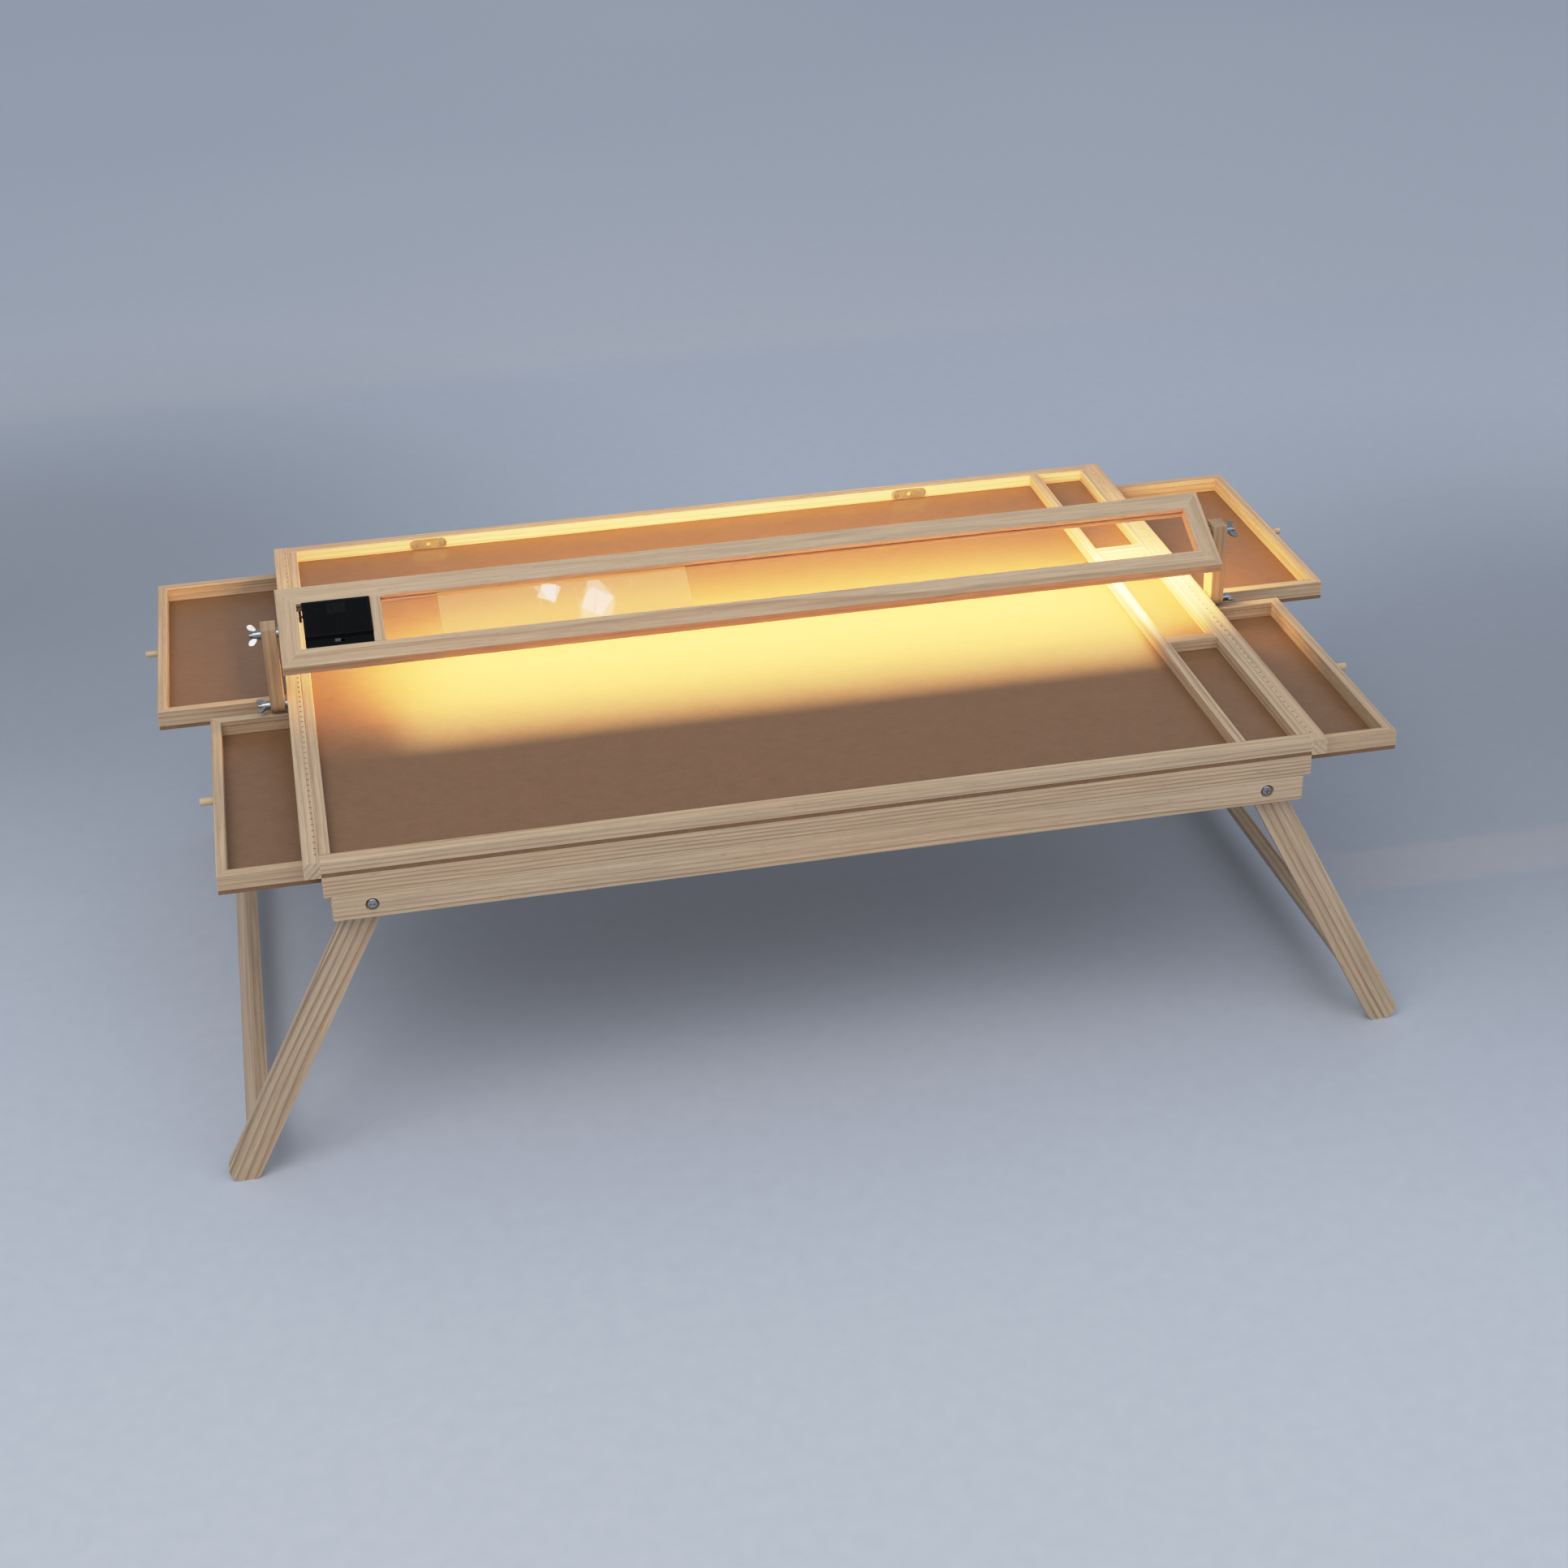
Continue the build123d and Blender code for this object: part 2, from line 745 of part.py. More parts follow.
light_rails = mitred_frame(
    bar_underside,
    table_width,
    light_bar_depth,
    light_rail,
    light_end_rail,
    light_bar_thickness,
)
with BuildPart() as lens_slot:
    with BuildSketch(bar_plane.offset(-lens_groove / 2)):
        Rectangle(table_width - 2 * light_end_rail, window_depth + 2 * lens_groove_depth)
    extrude(amount=lens_groove)
bolt_bores = [
    rod(
        (side * (half_width - light_end_rail + end_rail_bolt_stop), pivot_y, upper_pivot_z),
        (side, 0, 0),
        bolt_radius,
        light_end_rail,
    )
    for side in (-1, 1)
]
cuts = [lens_slot.part, lens_slot.part, bolt_bores[0], bolt_bores[1]]
for rail, cut, name in zip(light_rails, cuts, ("front", "back", "left", "right")):
    with BuildPart() as light_rail_piece:
        add(rail)
        add(cut, mode=Mode.SUBTRACT)
    finish(light_rail_piece.part, f"light_bar_{name}_rail")

with BuildPart() as cross_bar:
    with BuildSketch(bar_underside):
        with Locations((bay_right + cross_bar_width / 2, 0)):
            Rectangle(cross_bar_width, window_depth)
    extrude(amount=light_bar_thickness)
    fillet(cross_bar.edges().filter_by(Axis((0, 0, 0), bar_plane.y_dir)), edge_ease)
finish(cross_bar.part, "light_bar_cross_bar")

with BuildPart() as magnifier_sheet:
    with BuildSketch(bar_plane.offset(-lens_thickness / 2)):
        with Locations((-half_width + lens_start + lens_length / 2, 0)):
            Rectangle(lens_length, window_depth + 2 * (lens_groove_depth - lens_edge_clearance))
    extrude(amount=lens_thickness)
finish(magnifier_sheet.part, "magnifier_sheet")

# ---- LED tapes under the long rails, and their leads ----
tape_y = (light_bar_depth - light_rail) / 2
tape_start = bay_right + cross_bar_width + led_tape_start
tape_end = half_width - led_tape_margin
tape_middle = (tape_start + tape_end) / 2
tapes = []
for side in (-1, 1):
    with BuildPart() as tape:
        with BuildSketch(bar_underside):
            with Locations((tape_middle, side * tape_y)):
                Rectangle(tape_end - tape_start, led_tape_width)
        extrude(amount=-led_tape_thickness)
    tapes.append(tape.part)
group(tapes, "led_tapes")

with BuildPart() as led_chips:
    with BuildSketch(bar_underside.offset(-led_tape_thickness)):
        with Locations((tape_middle, -tape_y), (tape_middle, tape_y)):
            with GridLocations(led_chip_pitch, 0, led_chip_count, 1):
                Rectangle(led_chip_length, led_chip_width)
    extrude(amount=-led_chip_height)
finish(led_chips.part, "led_chips")

# ---- Battery box in its cradle ----
box_left = bay_right - battery_box_length
box_middle = bay_right - battery_box_length / 2
cradle_top = bar_plane.offset(battery_box_bottom)
with BuildPart() as battery_cradle:
    with BuildSketch(cradle_top):
        with Locations((box_middle, 0)):
            Rectangle(battery_box_length, window_depth + 2 * cradle_lip)
    extrude(amount=-cradle_floor)
    with BuildSketch(cradle_top):
        for side in (-1, 1):
            with Locations((box_middle, side * (window_depth + cradle_lip) / 2)):
                Rectangle(battery_box_length, cradle_lip)
    extrude(amount=-light_bar_thickness / 2 - battery_box_bottom)
finish(battery_cradle.part, "battery_cradle")

box_floor_plane = bar_plane.offset(battery_box_bottom)
box_rim_plane = bar_plane.offset(battery_box_top)
step_depth = battery_box_depth - battery_lid_depth
cavity_depth = cell_count * cell_pitch + cell_play
cavity_y = battery_box_depth / 2 - battery_wall - cavity_depth / 2
step_y = -(battery_box_depth - step_depth) / 2
with BuildPart() as battery_box:
    with BuildSketch(box_floor_plane):
        with Locations((box_middle, 0)):
            RectangleRounded(battery_box_length, battery_box_depth, battery_corner)
    extrude(amount=battery_box_top - battery_box_bottom)
    with BuildSketch(box_floor_plane.offset(battery_floor)):
        with Locations((box_middle, cavity_y)):
            Rectangle(battery_box_length - 2 * battery_wall, cavity_depth)
    extrude(amount=battery_box_top - battery_box_bottom, mode=Mode.SUBTRACT)
    with BuildSketch(box_rim_plane):
        with Locations((box_middle, step_y)):
            Rectangle(battery_box_length, step_depth)
    extrude(amount=-battery_step, mode=Mode.SUBTRACT)
    with BuildSketch(box_rim_plane.offset(-battery_step)):
        with Locations((box_middle, step_y)):
            Rectangle(switch_slot_length, switch_slot_width)
    extrude(amount=-switch_slot_depth, mode=Mode.SUBTRACT)
finish(battery_box.part, "battery_box")

with BuildPart() as battery_lid:
    with BuildSketch(box_rim_plane):
        with Locations((box_middle, step_depth / 2)):
            Rectangle(battery_box_length, battery_lid_depth)
    extrude(amount=battery_lid_thickness)
finish(battery_lid.part, "battery_lid")

knob_middle = box_middle - (switch_slot_length - switch_knob_length) / 2 + switch_clearance
with BuildPart() as battery_switch:
    with BuildSketch(box_rim_plane.offset(-battery_step - switch_slot_depth + switch_clearance)):
        with Locations((knob_middle, step_y)):
            Rectangle(switch_knob_length, switch_slot_width - 2 * switch_clearance)
    extrude(amount=switch_slot_depth - switch_clearance + switch_knob_rise)
finish(battery_switch.part, "battery_switch")

cells = []
cell_height = battery_box_bottom + battery_floor + cell_radius + cell_clearance
for place, facing in ((-1, 1), (1, -1)):
    cell_y = cavity_y + place * cell_pitch / 2
    cell_start = bar_plane.from_local_coords(
        Vector(box_middle - facing * (cell_length + cell_button_length) / 2, cell_y, cell_height)
    )
    with BuildPart() as cell:
        add(rod(cell_start, (facing, 0, 0), cell_radius, cell_length))
        add(rod(cell_start, (facing, 0, 0), cell_button_radius, cell_length + cell_button_length))
    cells.append(cell.part)
group(cells, "battery_cells")


def lead(*points):
    """A round lead under the light bar, along straight runs with tangent bends."""
    corners = [bar_plane.from_local_coords(Vector(*point)) for point in points]
    with BuildLine() as route:
        FilletPolyline(*corners, radius=lead_bend)
    with BuildPart() as tube:
        with BuildSketch(Plane(origin=corners[0], z_dir=route.line % 0)):
            Circle(lead_radius)
        sweep(path=route.line)
    return tube.part


lead_drop_x = (bay_left + box_left) / 2
lead_level = -light_bar_thickness / 2 - lead_radius - running_clearance
link_x = half_width - light_end_rail / 2
group(
    [
        lead(
            (box_left, lead_exit_y, lead_exit_height),
            (lead_drop_x, lead_exit_y, lead_exit_height),
            (lead_drop_x, lead_exit_y, lead_level),
            (lead_drop_x, tape_y, lead_level),
            (tape_start, tape_y, lead_level),
        ),
        lead(
            (tape_end, tape_y, lead_level),
            (link_x, tape_y, lead_level),
            (link_x, -tape_y, lead_level),
            (tape_end, -tape_y, lead_level),
        ),
    ],
    "led_leads",
)
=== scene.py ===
"""Looks for the folding craft table: wood, board, fittings, warm light, floor and camera."""

import json
from itertools import count
from math import cos, pi, radians, sin

import bmesh
import bpy
from mathutils import Matrix, Vector


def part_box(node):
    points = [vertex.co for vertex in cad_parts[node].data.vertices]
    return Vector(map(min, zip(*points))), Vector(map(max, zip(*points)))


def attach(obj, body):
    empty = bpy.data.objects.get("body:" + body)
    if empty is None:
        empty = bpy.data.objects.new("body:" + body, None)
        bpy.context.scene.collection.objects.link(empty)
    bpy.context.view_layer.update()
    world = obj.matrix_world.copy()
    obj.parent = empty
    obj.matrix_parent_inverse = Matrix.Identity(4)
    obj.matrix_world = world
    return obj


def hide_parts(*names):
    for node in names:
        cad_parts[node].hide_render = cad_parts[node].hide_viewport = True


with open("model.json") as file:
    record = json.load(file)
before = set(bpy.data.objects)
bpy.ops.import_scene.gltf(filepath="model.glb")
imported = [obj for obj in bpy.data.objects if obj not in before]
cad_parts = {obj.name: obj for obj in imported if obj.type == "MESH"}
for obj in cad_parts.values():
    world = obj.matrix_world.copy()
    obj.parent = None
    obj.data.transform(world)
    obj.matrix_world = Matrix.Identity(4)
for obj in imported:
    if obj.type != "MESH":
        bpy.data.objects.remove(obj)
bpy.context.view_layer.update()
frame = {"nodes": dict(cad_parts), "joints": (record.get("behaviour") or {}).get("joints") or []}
nodes = frame["nodes"]

# ---- Camera first, so that everything is judged from it ----
camera_data = bpy.data.cameras.new("view")
camera_data.lens = 60.5
camera_data.sensor_width = 36.0
camera_place = (-0.39917, -2.19011, 1.37325)
camera = bpy.data.objects.new("view", camera_data)
bpy.context.collection.objects.link(camera)
# The columns are the camera's right, up and backward directions.
sight = Matrix(
    (
        (0.97891, 0.11960, -0.16563),
        (-0.20271, 0.46686, -0.86079),
        (-0.02565, 0.87621, 0.48125),
    )
)
camera.matrix_world = Matrix.Translation(camera_place) @ sight.to_4x4()
bpy.context.scene.camera = camera

# ---- A soft shoulder, so that the brightest part of the lit board keeps its colour ----
response = bpy.context.scene.view_settings
response.view_transform = "Standard"
response.use_curve_mapping = True
brightest = 4.0
response.curve_mapping.white_level = (brightest,) * 3
shoulder = response.curve_mapping.curves[3].points
shoulder[1].location = (1.0, 1.0)
for given_light, shown_light in (
    (0.20, 0.20),
    (0.40, 0.40),
    (0.60, 0.58),
    (0.80, 0.70),
    (1.10, 0.80),
    (1.60, 0.89),
    (2.40, 0.955),
):
    shoulder.new(given_light / brightest, shown_light)
response.curve_mapping.update()

# ---- Pivots from the frame, and the angles at which the bar and the legs stand ----
pivots = {joint["name"]: joint["pos_m"] for joint in frame["joints"] if "pos_m" in joint}
_, pivot_y, upper_pivot_z = pivots["light_bar_tilt"]
lower_pivot_z = pivots["post_swing"][2]
bar_tilt = radians(27)
leg_lean = 0.4801
bar_place = Matrix.Translation((0, pivot_y, upper_pivot_z)) @ Matrix.Rotation(bar_tilt, 4, "X")


# ---- Small helpers for node trees ----
def join(tree, source, target):
    """Links an output socket to an input socket."""
    tree.links.new(source, target)


def maths(tree, operation, first, second=None, third=None):
    """A Math node on sockets or numbers."""
    made = tree.nodes.new("ShaderNodeMath")
    made.operation = operation
    for place, value in enumerate((first, second, third)):
        if value is None:
            continue
        if isinstance(value, (int, float)):
            made.inputs[place].default_value = value
        else:
            join(tree, value, made.inputs[place])
    return made.outputs[0]


def vector_maths(tree, operation, first, second=None):
    """A Vector Math node on a socket and, where it needs one, a second socket or vector."""
    made = tree.nodes.new("ShaderNodeVectorMath")
    made.operation = operation
    join(tree, first, made.inputs[0])
    if isinstance(second, tuple):
        made.inputs[1].default_value = second
    elif second is not None:
        join(tree, second, made.inputs[1])
    return made.outputs


def axes(tree, position):
    """The X, Y and Z of a position, as sockets by name."""
    made = tree.nodes.new("ShaderNodeSeparateXYZ")
    join(tree, position, made.inputs[0])
    return made.outputs


def ramp(tree, value, *stops):
    """A colour ramp through (position, grey or colour) stops."""
    made = tree.nodes.new("ShaderNodeValToRGB")
    band = made.color_ramp
    while len(band.elements) < len(stops):
        band.elements.new(0.5)
    for element, (position, shade) in zip(band.elements, stops):
        element.position = position
        grey = isinstance(shade, (int, float))
        element.color = (shade, shade, shade, 1) if grey else (*shade, 1)
    join(tree, value, made.inputs[0])
    return made.outputs[0]


def blend_colours(tree, amount, first, second, how="MIX"):
    """A colour Mix node; each side is a socket or a colour."""
    made = tree.nodes.new("ShaderNodeMix")
    made.data_type = "RGBA"
    made.blend_type = how
    for place, value in ((0, amount), (6, first), (7, second)):
        if isinstance(value, (int, float)):
            made.inputs[place].default_value = value
        elif isinstance(value, tuple):
            made.inputs[place].default_value = (*value, 1)
        else:
            join(tree, value, made.inputs[place])
    return made.outputs[2]


def stretched(tree, position, scale, shift=(0, 0, 0)):
    """The position scaled along each axis and moved."""
    made = tree.nodes.new("ShaderNodeMapping")
    made.inputs["Scale"].default_value = scale
    made.inputs["Location"].default_value = shift
    join(tree, position, made.inputs["Vector"])
    return made.outputs[0]


def noise(tree, position, scale, detail, roughness):
    """A Noise Texture's factor."""
    made = tree.nodes.new("ShaderNodeTexNoise")
    made.inputs["Scale"].default_value = scale
    made.inputs["Detail"].default_value = detail
    made.inputs["Roughness"].default_value = roughness
    join(tree, position, made.inputs["Vector"])
    return made.outputs["Fac"]


def effect(name, inputs, outputs):
    """An empty node group with its sockets; returns the tree, its inputs and its outputs."""
    tree = bpy.data.node_groups.new(name, "ShaderNodeTree")
    for label, kind, default in inputs:
        socket = tree.interface.new_socket(label, in_out="INPUT", socket_type=kind)
        if default is not None:
            socket.default_value = default
    for label, kind in outputs:
        tree.interface.new_socket(label, in_out="OUTPUT", socket_type=kind)
    return tree, tree.nodes.new("NodeGroupInput").outputs, tree.nodes.new("NodeGroupOutput").inputs


# ---- Effects that several finishes use ----
pith_y = 0.055
pith_z = 0.075
ripple_depth = 0.0016


def build_pine_grain():
    """Growth rings round a far pith along X, with fibres, resin flecks and a slow tint."""
    tree, given, out = effect(
        "pine grain",
        [
            ("Position", "NodeSocketVector", None),
            ("Early wood", "NodeSocketColor", (0.62, 0.46, 0.30, 1)),
            ("Late wood", "NodeSocketColor", (0.42, 0.26, 0.14, 1)),
            ("Ring width", "NodeSocketFloat", 0.0045),
            ("Wander", "NodeSocketFloat", 0.006),
        ],
        [
            ("Color", "NodeSocketColor"),
            ("Roughness", "NodeSocketFloat"),
            ("Height", "NodeSocketFloat"),
        ],
    )
    place = given["Position"]
    slow = noise(tree, stretched(tree, place, (2.2, 14, 14)), 1.0, 2.0, 0.45)
    quick = noise(tree, stretched(tree, place, (9, 60, 60)), 1.0, 2.0, 0.5)
    wander = maths(tree, "MULTIPLY", maths(tree, "SUBTRACT", slow, 0.5), given["Wander"])
    ripple = maths(tree, "MULTIPLY", maths(tree, "SUBTRACT", quick, 0.5), ripple_depth)
    along = axes(tree, place)
    across = maths(tree, "POWER", maths(tree, "ADD", along["Y"], pith_y), 2.0)
    deep = maths(tree, "POWER", maths(tree, "ADD", along["Z"], pith_z), 2.0)
    radius = maths(tree, "SQRT", maths(tree, "ADD", across, deep))
    bent = maths(tree, "ADD", radius, maths(tree, "ADD", wander, ripple))
    phase = maths(tree, "DIVIDE", bent, given["Ring width"])
    saw = maths(tree, "FRACT", phase)
    ring = ramp(tree, saw, (0.0, 0.12), (0.45, 0.14), (0.80, 0.72), (0.93, 1.0), (1.0, 0.12))
    year = tree.nodes.new("ShaderNodeTexWhiteNoise")
    year.noise_dimensions = "1D"
    join(tree, maths(tree, "FLOOR", phase), year.inputs["W"])
    strength = maths(tree, "MULTIPLY_ADD", year.outputs["Value"], 0.65, 0.38)
    line = maths(tree, "MULTIPLY", ring, strength)
    fibres = noise(tree, stretched(tree, place, (30, 1500, 1500)), 1.0, 4.0, 0.7)
    soft_fibres = noise(tree, stretched(tree, place, (12, 420, 420)), 1.0, 3.0, 0.6)
    flecks = noise(tree, stretched(tree, place, (90, 1100, 1100), (3, 1, 2)), 1.0, 1.0, 0.5)
    fleck = ramp(tree, flecks, (0.66, 0.0), (0.74, 1.0))
    tint = noise(tree, stretched(tree, place, (3.5, 22, 22), (7, 5, 3)), 1.0, 3.0, 0.5)
    wood = blend_colours(tree, line, given["Early wood"], given["Late wood"])
    warmer = ramp(tree, tint, (0.40, 0.0), (0.68, 0.38))
    wood = blend_colours(tree, warmer, wood, (0.62, 0.38, 0.22))
    shade = ramp(tree, soft_fibres, (0.30, 0.80), (0.70, 1.06))
    wood = blend_colours(tree, 1.0, wood, shade, "MULTIPLY")
    thread = ramp(tree, fibres, (0.28, 0.84), (0.72, 1.08))
    wood = blend_colours(tree, 1.0, wood, thread, "MULTIPLY")
    wood = blend_colours(tree, maths(tree, "MULTIPLY", fleck, 0.35), wood, (0.25, 0.14, 0.07))
    join(tree, wood, out["Color"])
    rough = maths(tree, "MULTIPLY_ADD", fibres, 0.22, 0.44)
    join(tree, maths(tree, "SUBTRACT", rough, maths(tree, "MULTIPLY", line, 0.10)), out["Roughness"])
    relief = maths(tree, "MULTIPLY", line, 0.14)
    relief = maths(tree, "ADD", relief, maths(tree, "MULTIPLY", fibres, 0.55))
    join(tree, maths(tree, "SUBTRACT", relief, maths(tree, "MULTIPLY", fleck, 0.3)), out["Height"])
    return tree


def build_edge_wear():
    """A mask that is white on worn outer edges and black on flats."""
    tree, given, out = effect(
        "edge wear",
        [
            ("Position", "NodeSocketVector", None),
            ("Width", "NodeSocketFloat", 0.0012),
            ("Patchiness", "NodeSocketFloat", 260.0),
        ],
        [("Mask", "NodeSocketFloat")],
    )
    rounded = tree.nodes.new("ShaderNodeBevel")
    rounded.samples = 3
    join(tree, given["Width"], rounded.inputs["Radius"])
    flat = tree.nodes.new("ShaderNodeNewGeometry")
    facing = vector_maths(tree, "DOT_PRODUCT", rounded.outputs[0], flat.outputs["True Normal"])
    edge = ramp(tree, facing["Value"], (0.72, 1.0), (0.985, 0.0))
    patch = tree.nodes.new("ShaderNodeTexNoise")
    join(tree, given["Position"], patch.inputs["Vector"])
    join(tree, given["Patchiness"], patch.inputs["Scale"])
    worn = ramp(tree, patch.outputs["Fac"], (0.32, 0.15), (0.62, 1.0))
    join(tree, maths(tree, "MULTIPLY", edge, worn), out["Mask"])
    return tree


def build_smudges():
    """Slow uneven gloss with fine scratches, and a little dust, over a hard surface."""
    tree, given, out = effect(
        "smudges and scratches",
        [
            ("Position", "NodeSocketVector", None),
            ("Smooth", "NodeSocketFloat", 0.2),
            ("Rough", "NodeSocketFloat", 0.4),
            ("Scratch scale", "NodeSocketFloat", 900.0),
        ],
        [
            ("Roughness", "NodeSocketFloat"),
            ("Dust", "NodeSocketFloat"),
            ("Height", "NodeSocketFloat"),
        ],
    )
    place = given["Position"]
    patches = noise(tree, place, 70.0, 4.0, 0.6)
    spread = tree.nodes.new("ShaderNodeMapRange")
    join(tree, patches, spread.inputs["Value"])
    spread.inputs["From Min"].default_value = 0.3
    spread.inputs["From Max"].default_value = 0.7
    join(tree, given["Smooth"], spread.inputs["To Min"])
    join(tree, given["Rough"], spread.inputs["To Max"])
    scored = tree.nodes.new("ShaderNodeTexNoise")
    join(tree, stretched(tree, place, (1, 0.06, 0.4)), scored.inputs["Vector"])
    join(tree, given["Scratch scale"], scored.inputs["Scale"])
    scratch = ramp(tree, scored.outputs["Fac"], (0.62, 0.0), (0.72, 1.0))
    rough = maths(tree, "ADD", spread.outputs[0], maths(tree, "MULTIPLY", scratch, 0.12))
    join(tree, rough, out["Roughness"])
    specks = noise(tree, place, 1400.0, 2.0, 0.6)
    join(tree, ramp(tree, specks, (0.66, 0.0), (0.78, 1.0)), out["Dust"])
    join(tree, maths(tree, "SUBTRACT", patches, maths(tree, "MULTIPLY", scratch, 0.5)), out["Height"])
    return tree


pine_grain = build_pine_grain()
edge_wear = build_edge_wear()
smudges = build_smudges()


def new_finish(name):
    """A material with its shader and the object's own coordinates."""
    made = bpy.data.materials.new(name)
    made.use_nodes = True
    tree = made.node_tree
    shader = tree.nodes["Principled BSDF"]
    place = tree.nodes.new("ShaderNodeTexCoord").outputs["Object"]
    return made, tree, shader, place


def use_effect(tree, group, **inputs):
    """An effect placed in a material, its inputs set by socket or value."""
    made = tree.nodes.new("ShaderNodeGroup")
    made.node_tree = group
    for key, value in inputs.items():
        socket = made.inputs[key.replace("_", " ")]
        if hasattr(value, "is_output"):
            join(tree, value, socket)
        else:
            socket.default_value = (*value, 1) if isinstance(value, tuple) else value
    return made.outputs


def bump(tree, shader, height, distance, strength):
    """Relief from a height, with its depth in metres."""
    made = tree.nodes.new("ShaderNodeBump")
    made.inputs["Distance"].default_value = distance
    made.inputs["Strength"].default_value = strength
    join(tree, height, made.inputs["Height"])
    join(tree, made.outputs[0], shader.inputs["Normal"])


def along_grain(tree, place, turn, shift):
    """Turns the object's coordinates so that the grain runs along X."""
    made = tree.nodes.new("ShaderNodeMapping")
    made.vector_type = "TEXTURE"
    made.inputs["Rotation"].default_value = turn
    join(tree, place, made.inputs["Vector"])
    return vector_maths(tree, "ADD", made.outputs[0], shift)[0]


grain_x = (0, 0, 0)
grain_y = (0, 0, pi / 2)
grain_z = (0, -pi / 2, 0)
early_pine = (0.645, 0.475, 0.312)
late_pine = (0.330, 0.180, 0.088)
board_numbers = count(1)


def mitre_mask(centre, half_length, half_width):
    """White on the end bars of a mitred frame and black on its long bars."""

    def build(tree, place):
        from_centre = axes(tree, vector_maths(tree, "SUBTRACT", place, centre)[0])
        to_end = maths(tree, "SUBTRACT", half_length, maths(tree, "ABSOLUTE", from_centre["X"]))
        to_side = maths(tree, "SUBTRACT", half_width, maths(tree, "ABSOLUTE", from_centre["Y"]))
        return maths(tree, "LESS_THAN", to_end, to_side)

    return build


def beyond_mask(limit):
    """White past a place along X."""

    def build(tree, place):
        return maths(tree, "GREATER_THAN", axes(tree, place)["X"], limit)

    return build


def pine(
    name,
    turn,
    ring_width,
    wander=0.007,
    early=early_pine,
    late=late_pine,
    other_bars=None,
    other_turn=grain_y,
):
    """Planed pine cut from its own place in the log. Bars in a mask take their grain another way."""
    made, tree, shader, place = new_finish(name)
    number = next(board_numbers)
    cut_from = (0.37 * number, 0.0123 * (number % 5), 0.0091 * (number % 7))
    grain = along_grain(tree, place, turn, cut_from)
    if other_bars:
        other_cut = (cut_from[0] + 1.3, cut_from[1] + 0.01, cut_from[2])
        crosswise = along_grain(tree, place, other_turn, other_cut)
        chosen = tree.nodes.new("ShaderNodeMix")
        chosen.data_type = "VECTOR"
        join(tree, other_bars(tree, place), chosen.inputs[0])
        join(tree, grain, chosen.inputs[4])
        join(tree, crosswise, chosen.inputs[5])
        grain = chosen.outputs[1]
    wood = use_effect(
        tree,
        pine_grain,
        Position=grain,
        Early_wood=early,
        Late_wood=late,
        Ring_width=ring_width,
        Wander=wander,
    )
    worn = use_effect(tree, edge_wear, Position=place, Width=0.0014)
    paler = maths(tree, "MULTIPLY", worn["Mask"], 0.45)
    colour = blend_colours(tree, paler, wood["Color"], (0.78, 0.64, 0.47))
    join(tree, colour, shader.inputs["Base Color"])
    join(tree, wood["Roughness"], shader.inputs["Roughness"])
    shader.inputs["Specular IOR Level"].default_value = 0.35
    bump(tree, shader, wood["Height"], 0.00022, 0.5)
    return made


def hardboard():
    """Pressed brown fibreboard: felted fibres, dark specks and a slightly mottled face."""
    made, tree, shader, place = new_finish("pressed hardboard")
    mottle = noise(tree, place, 60.0, 6.0, 0.7)
    felt = noise(tree, stretched(tree, place, (1, 1.6, 1)), 520.0, 5.0, 0.72)
    strands = noise(tree, stretched(tree, place, (0.25, 2.2, 1)), 420.0, 3.0, 0.65)
    specks = noise(tree, stretched(tree, place, (1, 1, 1), (4, 2, 1)), 900.0, 2.0, 0.5)
    colour = ramp(tree, mottle, (0.32, (0.208, 0.106, 0.050)), (0.70, (0.240, 0.124, 0.060)))
    felted = ramp(tree, felt, (0.28, 0.80), (0.72, 1.16))
    colour = blend_colours(tree, 1.0, colour, felted, "MULTIPLY")
    streaked = ramp(tree, strands, (0.30, 0.90), (0.70, 1.08))
    colour = blend_colours(tree, 1.0, colour, streaked, "MULTIPLY")
    dark = maths(tree, "MULTIPLY", ramp(tree, specks, (0.66, 0.0), (0.76, 1.0)), 0.45)
    colour = blend_colours(tree, dark, colour, (0.075, 0.040, 0.020))
    join(tree, colour, shader.inputs["Base Color"])
    join(tree, ramp(tree, felt, (0.3, 0.30), (0.7, 0.46)), shader.inputs["Roughness"])
    shader.inputs["Specular IOR Level"].default_value = 0.30
    bump(tree, shader, maths(tree, "ADD", felt, strands), 0.00018, 0.5)
    return made


def metal(name, colour, smooth, rough, grain_scale):
    """Plated steel with uneven gloss, fine scratches and brighter worn edges."""
    made, tree, shader, place = new_finish(name)
    marks = use_effect(
        tree, smudges, Position=place, Smooth=smooth, Rough=rough, Scratch_scale=grain_scale
    )
    worn = use_effect(tree, edge_wear, Position=place, Width=0.0005, Patchiness=900.0)
    dull = tuple(value * 0.72 for value in colour)
    tone = blend_colours(tree, ramp(tree, marks["Height"], (0.35, 0.0), (0.62, 1.0)), dull, colour)
    brighter = maths(tree, "MULTIPLY", worn["Mask"], 0.5)
    tone = blend_colours(tree, brighter, tone, (0.80, 0.80, 0.80))
    join(tree, tone, shader.inputs["Base Color"])
    join(tree, marks["Roughness"], shader.inputs["Roughness"])
    shader.inputs["Metallic"].default_value = 1.0
    bump(tree, shader, marks["Height"], 0.00006, 0.4)
    return made


